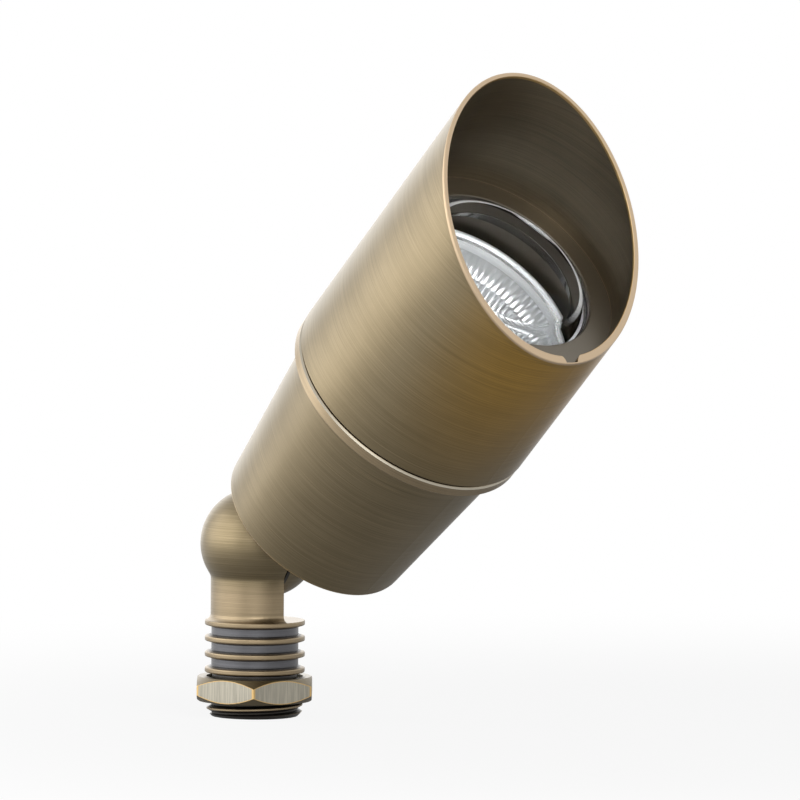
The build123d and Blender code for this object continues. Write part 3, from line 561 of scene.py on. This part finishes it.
def nut_brass(finish):
    """Brass of the locknut: upright brush lines on the flats, painted shade on its chamfers and end faces,
    golden corners and chamfer lines.
    """
    low, high = (corner.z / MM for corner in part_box("locknut"))
    brass = BrushedBrass("Locknut brass", finish, STEM_PLACE, STEM_AXIS, 0.0)
    lines = brass.noise(brass.join("MULTIPLY", brass.point, UPRIGHT_LINES).outputs[0])
    shaded = [NUT_LINE_SHADE * part for part in finish.nut_flat]
    pale = brass.two_tone(brass.ramp(lines, 0.35, 0.7), shaded, finish.nut_flat)
    tilt = brass.add("ShaderNodeSeparateXYZ", {0: brass.normal}).outputs[2]
    flat = brass.ramp(brass.calc("ABSOLUTE", tilt), 0.35, 0.2)
    # Painted shade: faces whose normal tilts, the chamfers and end faces, take the darker aged colour; the
    # flats keep the pale colour
    brass.colour = brass.blend(flat, rgba(finish.aged), pale)
    depth = brass.calc("MINIMUM", brass.calc("SUBTRACT", brass.z, low), brass.calc("SUBTRACT", high, brass.z))
    chamfer = brass.calc("ADD", brass.calc("DIVIDE", depth, NUT_CHAMFER_SLOPE), NUT_FACE_RADIUS)
    line = brass.ramp(brass.calc("SUBTRACT", chamfer, brass.radius), 0.3, 0.08)
    corner = brass.ramp(brass.radius, NUT_CORNER_RADIUS - 0.3, NUT_CORNER_RADIUS - 0.12)
    brass.cover(brass.both(flat, brass.calc("MAXIMUM", line, corner)), finish.gold)
    return brass.close(brass.colour, brass.roughness, lines, depth=0.01)


def black_rubber():
    """Matte moulded rubber with a fine skin."""
    rubber = Surface("Black rubber")
    skin = rubber.clouds(size=0.35)
    colour = rubber.two_tone(skin, dark=(0.012, 0.012, 0.012), light=(0.035, 0.034, 0.033))
    rubber.shader.inputs["Specular IOR Level"].default_value = 0.35
    return rubber.close(colour, rubber.ramp(skin, 0.0, 1.0, top=0.75), skin, depth=0.02)


def satin_steel():
    """Satin stainless steel with a fine grain."""
    steel = Surface("Satin steel", PIVOT)
    grain = steel.clouds(size=0.2)
    colour = steel.two_tone(grain, dark=(0.45, 0.44, 0.42), light=(0.68, 0.67, 0.64))
    steel.shader.inputs["Metallic"].default_value = 1.0
    return steel.close(colour, steel.ramp(grain, -0.6, 1.6, top=0.6), grain, depth=0.005)


def contact_metal():
    """Tinned brass with dull blots."""
    metal = Surface("Contact metal", HEAD_PLACE, HEAD_TILT)
    blots = metal.clouds(size=0.8)
    colour = metal.two_tone(blots, dark=(0.5, 0.48, 0.42), light=(0.72, 0.7, 0.64))
    metal.shader.inputs["Metallic"].default_value = 1.0
    return metal.close(colour, metal.ramp(blots, -0.5, 1.5, top=0.6), blots, depth=0.005)


def bracket_aluminium():
    """Mill-finished aluminium strip with rolling lines."""
    strip = Surface("Bracket aluminium", HEAD_PLACE, HEAD_TILT)
    lines = strip.noise(strip.join("MULTIPLY", strip.point, ROLLING_LINES).outputs[0])
    colour = strip.two_tone(lines, dark=(0.55, 0.55, 0.56), light=(0.76, 0.76, 0.76))
    strip.shader.inputs["Metallic"].default_value = 1.0
    return strip.close(colour, strip.ramp(lines, -0.4, 1.6, top=0.6), lines, depth=0.004)


def white_ceramic():
    """Unglazed ceramic with fine specks."""
    clay = Surface("White ceramic", HEAD_PLACE, HEAD_TILT)
    specks = clay.clouds(size=0.5)
    colour = clay.two_tone(specks, dark=(0.72, 0.7, 0.64), light=(0.84, 0.82, 0.77))
    return clay.close(colour, clay.ramp(specks, -0.5, 1.0, top=0.8), specks, depth=0.02)


def lead_insulation():
    """Cream silicone sleeving with a fine skin."""
    sleeve = Surface("Lead insulation", HEAD_PLACE, HEAD_TILT)
    skin = sleeve.clouds(size=0.4)
    colour = sleeve.two_tone(skin, dark=(0.66, 0.62, 0.53), light=(0.82, 0.79, 0.71))
    return sleeve.close(colour, sleeve.ramp(skin, -0.4, 1.2, top=0.7), skin, depth=0.03)


def clear_glass():
    """Polished lens glass with a trace of haze and a painted highlight line on the far half of its crown's
    edge.
    """
    glass = Surface("Clear glass", HEAD_PLACE, HEAD_TILT)
    haze = glass.clouds(size=9.0)
    colour = glass.two_tone(haze, dark=(0.97, 0.985, 0.98), light=(1.0, 1.0, 1.0))
    # Painted highlight: less transmission in a thin line on the far half of the crown's edge
    ring = glass.band(glass.radius, CROWN_FLAT_RADIUS, CROWN_EDGE_RADIUS, 0.1)
    highlight_ring = glass.both(ring, glass.ramp(glass.z, CROWN_TOP - 1.2, CROWN_TOP - 0.9))
    far_half = glass.ramp(glass.along(BACK_OF_HEAD), -CROWN_HIGHLIGHT_FADE, CROWN_HIGHLIGHT_FADE)
    line = glass.calc("MULTIPLY", glass.both(highlight_ring, far_half), CROWN_HIGHLIGHT_WEIGHT)
    clear = glass.calc("SUBTRACT", 1.0, line)
    glass.tree.links.new(clear, glass.shader.inputs["Transmission Weight"])
    glass.shader.inputs["IOR"].default_value = LENS_INDEX
    return glass.close(colour, glass.ramp(haze, 0.5, 1.4, top=0.02))


def lamp_cover():
    """Front glass of the lamp, clear in the middle and slightly etched at its rim."""
    glass = Surface("Lamp cover glass", HEAD_PLACE, HEAD_TILT)
    etched = glass.ramp(glass.radius, LAMP_RADIUS - 3.0, LAMP_RADIUS - 2.0)
    grain = glass.clouds(size=0.6)
    colour = glass.two_tone(grain, dark=(0.93, 0.94, 0.94), light=(1.0, 1.0, 1.0))
    glass.shader.inputs["Transmission Weight"].default_value = 1.0
    glass.shader.inputs["IOR"].default_value = COVER_INDEX
    return glass.close(colour, glass.calc("MULTIPLY", etched, ETCHED_ROUGHNESS))


def frosted_glass():
    """Frosted glass of the light source."""
    glass = Surface("Frosted glass", HEAD_PLACE, HEAD_TILT)
    grain = glass.clouds(size=0.3)
    colour = glass.two_tone(grain, dark=(0.86, 0.86, 0.82), light=(0.95, 0.95, 0.93))
    glass.shader.inputs["Transmission Weight"].default_value = 0.5
    return glass.close(colour, glass.ramp(grain, -1.0, 1.0, top=0.6), grain, depth=0.02)


def mirror_coat(rim_foot):
    """Bright evaporated coat on the reflector's facets, and plain pale glass on its rim."""
    coat = Surface("Reflector coat", HEAD_PLACE, HEAD_TILT)
    ripple = coat.clouds(size=1.5)
    colour = coat.two_tone(ripple, dark=(0.9, 0.92, 0.95), light=(0.97, 0.98, 1.0))
    facets = coat.ramp(coat.z, rim_foot + 0.3, rim_foot - 0.3)
    coat.tree.links.new(coat.calc("MULTIPLY", facets, FACET_METAL), coat.shader.inputs["Metallic"])
    polish = coat.calc("MULTIPLY", facets, RIM_ROUGHNESS - FACET_ROUGHNESS)
    roughness = coat.calc("SUBTRACT", RIM_ROUGHNESS, polish)
    return coat.close(colour, roughness, ripple, depth=0.01)


def dress(node, material):
    """Gives a CAD node one material."""
    mesh = frame["nodes"][node].data
    mesh.materials.clear()
    mesh.materials.append(material)


def deselect_all():
    """Leaves nothing selected, in object mode."""
    bpy.ops.object.select_all(action="DESELECT")


def bowl_outline(sizes):
    """Radius and level of each ring of the reflector's inside, from its front edge down, in millimetres."""
    inner = LAMP_RADIUS - sizes.wall / MM
    rim_foot = LAMP_FRONT - sizes.rim / MM
    throat = sizes.throat / MM
    foot = LAMP_FOOT + sizes.wall / MM
    rings = [(inner, LAMP_FRONT)]
    width = inner - throat
    height = rim_foot - foot
    chord = math.hypot(width, height)
    for row in range(sizes.rows + 1):
        share = row / sizes.rows
        swell = 4 * share * (1 - share) * sizes.bulge / MM
        radius = inner - share * width + swell * height / chord
        level = rim_foot - share * height - swell * width / chord
        rings.append((radius, level))
    return rings


def faceted_bowl(sizes):
    """The reflector: rings extruded down from the front edge, with a dished facet in every panel."""
    rings = bowl_outline(sizes)
    radius, level = rings[0]
    deselect_all()
    bpy.ops.mesh.primitive_circle_add(
        vertices=sizes.facets, radius=radius * MM, fill_type="NOTHING", location=(0, 0, level * MM)
    )
    bowl = bpy.context.object
    bowl.name = "lamp_faceted_bowl"
    bpy.ops.object.transform_apply(location=True)
    bpy.ops.object.mode_set(mode="EDIT")
    bpy.ops.mesh.select_all(action="SELECT")
    for next_radius, next_level in rings[1:]:
        bpy.ops.mesh.extrude_region_move(TRANSFORM_OT_translate={"value": (0, 0, (next_level - level) * MM)})
        bpy.ops.transform.resize(value=(next_radius / radius, next_radius / radius, 1))
        radius, level = next_radius, next_level
    bpy.ops.mesh.select_all(action="SELECT")
    bpy.ops.mesh.remove_doubles(threshold=MERGE_DISTANCE)
    bpy.ops.mesh.normals_make_consistent(inside=True)
    bpy.ops.mesh.select_all(action="DESELECT")
    bpy.ops.object.mode_set(mode="OBJECT")
    for face in bowl.data.polygons:
        face.select = face.center.z < rings[1][1] * MM
    bpy.ops.object.mode_set(mode="EDIT")
    bpy.ops.mesh.select_mode(type="FACE")
    for width, share in FACET_STEPS:
        bpy.ops.mesh.inset(thickness=width * MM, depth=-share * sizes.dish, use_individual=True)
    bpy.ops.mesh.select_all(action="SELECT")
    bpy.ops.mesh.faces_shade_smooth()
    bpy.ops.object.mode_set(mode="OBJECT")
    bpy.ops.object.modifier_add(type="SOLIDIFY")
    wall = bowl.modifiers[-1]
    wall.thickness = sizes.wall
    wall.offset = -1.0
    bpy.ops.object.modifier_apply(modifier=wall.name)
    bowl.matrix_world = Matrix.Translation(HEAD_PLACE) @ Matrix.Rotation(HEAD_TILT, 4, "Y")
    bpy.ops.object.transform_apply(location=True, rotation=True, scale=True)
    return bowl


class SPOT_OT_brass(bpy.types.Operator):
    """Finish the brass pieces"""

    bl_idname = "spot.brass"
    bl_label = "Finish brass"

    def execute(self, context):
        finish = context.scene.spot_brass
        dress("shroud", shroud_brass(finish))
        dress("housing", housing_brass(finish))
        dress("stem", stem_brass(finish))
        dress("locknut", nut_brass(finish))
        ear = ear_brass(finish)
        dress("knuckle_ear", ear)
        dress("ear_nut", ear)
        return {"FINISHED"}


class SPOT_OT_fittings(bpy.types.Operator):
    """Finish the seals, screws, socket and leads"""

    bl_idname = "spot.fittings"
    bl_label = "Finish fittings"

    def execute(self, context):
        groups = (
            (black_rubber(), ("wire_bushing", "knuckle_seal", "ear_gasket", "shroud_seals", "lens_gasket")),
            (
                satin_steel(),
                ("pivot_screw", "pivot_washer", "lens_snap_ring", "bracket_screws", "socket_screws"),
            ),
            (contact_metal(), ("lamp_pins", "socket_contacts", "lead_splices")),
            (bracket_aluminium(), ("socket_bracket",)),
            (white_ceramic(), ("lamp_base", "lamp_socket")),
            (lead_insulation(), ("socket_leads",)),
        )
        for material, nodes in groups:
            for node in nodes:
                dress(node, material)
        return {"FINISHED"}


class SPOT_OT_lamp(bpy.types.Operator):
    """Model the faceted reflector and finish the glass"""

    bl_idname = "spot.lamp"
    bl_label = "Model lamp"

    def execute(self, context):
        sizes = context.scene.spot_lamp
        bowl = faceted_bowl(sizes)
        bowl.data.materials.append(mirror_coat(LAMP_FRONT - sizes.rim / MM))
        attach(bowl, "head")
        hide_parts("lamp_reflector")
        dress("lamp_reflector", bowl.data.materials[0])
        dress("lens", clear_glass())
        dress("lamp_cover_glass", lamp_cover())
        dress("lamp_capsule", frosted_glass())
        return {"FINISHED"}


def softbox(name, place, target, size, radiance, in_reflections):
    """A square area light that faces a target, as bright as its radiance says."""
    light = bpy.data.lights.new(name, "AREA")
    light.size = size
    light.energy = radiance * math.pi * size * size
    lamp = bpy.data.objects.new(name, light)
    lamp.location = place
    lamp.rotation_euler = (Vector(target) - Vector(place)).to_track_quat("-Z", "Y").to_euler()
    lamp.visible_glossy = in_reflections
    bpy.context.scene.collection.objects.link(lamp)


def shown_share(tree, camera_share, mirror_share):
    """How much of the plain white shows, to the camera and in metal and glass; both may be sockets."""
    path = tree.nodes.new("ShaderNodeLightPath")
    mirrored = tree.nodes.new("ShaderNodeMath")
    mirrored.operation = "MAXIMUM"
    tree.links.new(path.outputs["Is Glossy Ray"], mirrored.inputs[0])
    tree.links.new(path.outputs["Is Transmission Ray"], mirrored.inputs[1])
    shares = []
    for socket, share in ((path.outputs["Is Camera Ray"], camera_share), (mirrored.outputs[0], mirror_share)):
        scaled = tree.nodes.new("ShaderNodeMath")
        scaled.operation = "MULTIPLY"
        if isinstance(share, bpy.types.NodeSocket):
            tree.links.new(share, scaled.inputs[1])
        else:
            scaled.inputs[1].default_value = share
        tree.links.new(socket, scaled.inputs[0])
        shares.append(scaled.outputs[0])
    total = tree.nodes.new("ShaderNodeMath")
    total.operation = "MAXIMUM"
    tree.links.new(shares[0], total.inputs[0])
    tree.links.new(shares[1], total.inputs[1])
    return total.outputs[0]


def white_world(ambient):
    """A white surround for the camera, metal and glass, and a softer one for the light it gives."""
    world = bpy.data.worlds.new("Studio surround")
    world.use_nodes = True
    bpy.context.scene.world = world
    tree = world.node_tree
    tree.nodes.clear()
    lit = tree.nodes.new("ShaderNodeBackground")
    lit.inputs["Strength"].default_value = ambient
    shown = tree.nodes.new("ShaderNodeBackground")
    for background in (lit, shown):
        background.inputs["Color"].default_value = (1, 1, 1, 1)
    mix = tree.nodes.new("ShaderNodeMixShader")
    tree.links.new(shown_share(tree, 1.0, 1.0), mix.inputs[0])
    tree.links.new(lit.outputs[0], mix.inputs[1])
    tree.links.new(shown.outputs[0], mix.inputs[2])
    output = tree.nodes.new("ShaderNodeOutputWorld")
    tree.links.new(mix.outputs[0], output.inputs[0])


def pale_floor(setup):
    """A plain pale floor that shows white, keeps a little of the object's shadow, and is painted darker round
    the shadow place as a painted shadow.
    """
    deselect_all()
    bpy.ops.mesh.primitive_plane_add(size=setup.floor_size, location=(0, 0, -FLOOR_DROP))
    floor = bpy.context.object
    floor.name = "floor"
    material = bpy.data.materials.new("Pale floor")
    material.use_nodes = True
    tree = material.node_tree
    paint = tree.nodes["Principled BSDF"]
    paint.inputs["Base Color"].default_value = rgba(setup.floor_colour)
    paint.inputs["Roughness"].default_value = 1.0
    paint.inputs["Specular IOR Level"].default_value = 0.0
    white = tree.nodes.new("ShaderNodeEmission")
    mix = tree.nodes.new("ShaderNodeMixShader")
    where = tree.nodes.new("ShaderNodeTexCoord")
    reach = tree.nodes.new("ShaderNodeVectorMath")
    reach.operation = "DISTANCE"
    reach.inputs[1].default_value = SHADOW_PLACE
    tree.links.new(where.outputs["Object"], reach.inputs[0])
    shares = []
    # Painted shadow: round the shadow place the floor shows less white to camera and mirrors, on top of its
    # real shadow
    for near, far in (CAMERA_SHARES, MIRROR_SHARES):
        fade = tree.nodes.new("ShaderNodeMapRange")
        fade.interpolation_type = "SMOOTHSTEP"
        fade.inputs["From Min"].default_value = setup.shadow_reach / 4
        fade.inputs["From Max"].default_value = setup.shadow_reach
        fade.inputs["To Min"].default_value = near
        fade.inputs["To Max"].default_value = far
        tree.links.new(reach.outputs["Value"], fade.inputs["Value"])
        shares.append(fade.outputs[0])
    tree.links.new(shown_share(tree, *shares), mix.inputs[0])
    tree.links.new(paint.outputs[0], mix.inputs[1])
    tree.links.new(white.outputs[0], mix.inputs[2])
    tree.links.new(mix.outputs[0], tree.nodes["Material Output"].inputs[0])
    floor.data.materials.append(material)


def studio_camera(setup):
    """A camera at the photograph's angle."""
    azimuth, elevation = setup.azimuth, setup.elevation
    back = Vector((
        math.sin(azimuth) * math.cos(elevation), -math.cos(azimuth) * math.cos(elevation), math.sin(elevation)
    ))
    level = Vector((math.cos(azimuth), math.sin(azimuth), 0))
    upright = back.cross(level)
    right = math.cos(setup.roll) * level + math.sin(setup.roll) * upright
    up = math.cos(setup.roll) * upright - math.sin(setup.roll) * level
    place = PIVOT + setup.aim_right * right + setup.aim_up * up + setup.distance * back
    data = bpy.data.cameras.new("Studio camera")
    data.sensor_fit = "HORIZONTAL"
    data.sensor_width = SENSOR_WIDTH
    data.lens = setup.focal_length
    camera = bpy.data.objects.new("Studio camera", data)
    axes = Matrix((right, up, back)).transposed().to_4x4()
    camera.matrix_world = Matrix.Translation(place) @ axes
    bpy.context.scene.collection.objects.link(camera)
    bpy.context.scene.camera = camera


class SPOT_OT_stage(bpy.types.Operator):
    """Set the floor, the lights and the camera"""

    bl_idname = "spot.stage"
    bl_label = "Set stage"

    def execute(self, context):
        setup = context.scene.spot_studio
        context.scene.view_settings.view_transform = "Standard"
        white_world(setup.ambient)
        pale_floor(setup)
        middle = HEAD_PLACE + HEAD_AXIS * HEAD_MIDDLE
        for name, offset, side, radiance, in_reflections in SOFTBOXES:
            softbox(name, middle + Vector(offset), middle, side, radiance, in_reflections)
        softbox("Top softbox", TOP_PLACE, TOP_TARGET, TOP_SIDE, TOP_RADIANCE, in_reflections=False)
        studio_camera(setup)
        return {"FINISHED"}


class SPOT_PT_panel(bpy.types.Panel):
    """Steps that finish the light, in order"""

    bl_idname = "SPOT_PT_panel"
    bl_label = "Landscape spotlight"
    bl_space_type = "VIEW_3D"
    bl_region_type = "UI"
    bl_category = "Spotlight"

    def draw(self, context):
        for step in (SPOT_OT_brass, SPOT_OT_fittings, SPOT_OT_lamp, SPOT_OT_stage):
            self.layout.operator(step.bl_idname)
        for group in (context.scene.spot_brass, context.scene.spot_lamp, context.scene.spot_studio):
            for name in group.__annotations__:
                self.layout.prop(group, name)


CLASSES = (
    BrassFinish,
    LampSizes,
    StudioSetup,
    SPOT_OT_brass,
    SPOT_OT_fittings,
    SPOT_OT_lamp,
    SPOT_OT_stage,
    SPOT_PT_panel,
)


def register():
    """Adds the classes and their settings."""
    for item in CLASSES:
        bpy.utils.register_class(item)
    bpy.types.Scene.spot_brass = PointerProperty(type=BrassFinish)
    bpy.types.Scene.spot_lamp = PointerProperty(type=LampSizes)
    bpy.types.Scene.spot_studio = PointerProperty(type=StudioSetup)


def unregister():
    """Takes the classes and their settings away."""
    del bpy.types.Scene.spot_studio
    del bpy.types.Scene.spot_lamp
    del bpy.types.Scene.spot_brass
    for item in reversed(CLASSES):
        bpy.utils.unregister_class(item)


def main():
    """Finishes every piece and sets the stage."""
    register()
    bpy.ops.spot.brass()
    bpy.ops.spot.fittings()
    bpy.ops.spot.lamp()
    bpy.ops.spot.stage()


if __name__ == "__main__":
    main()
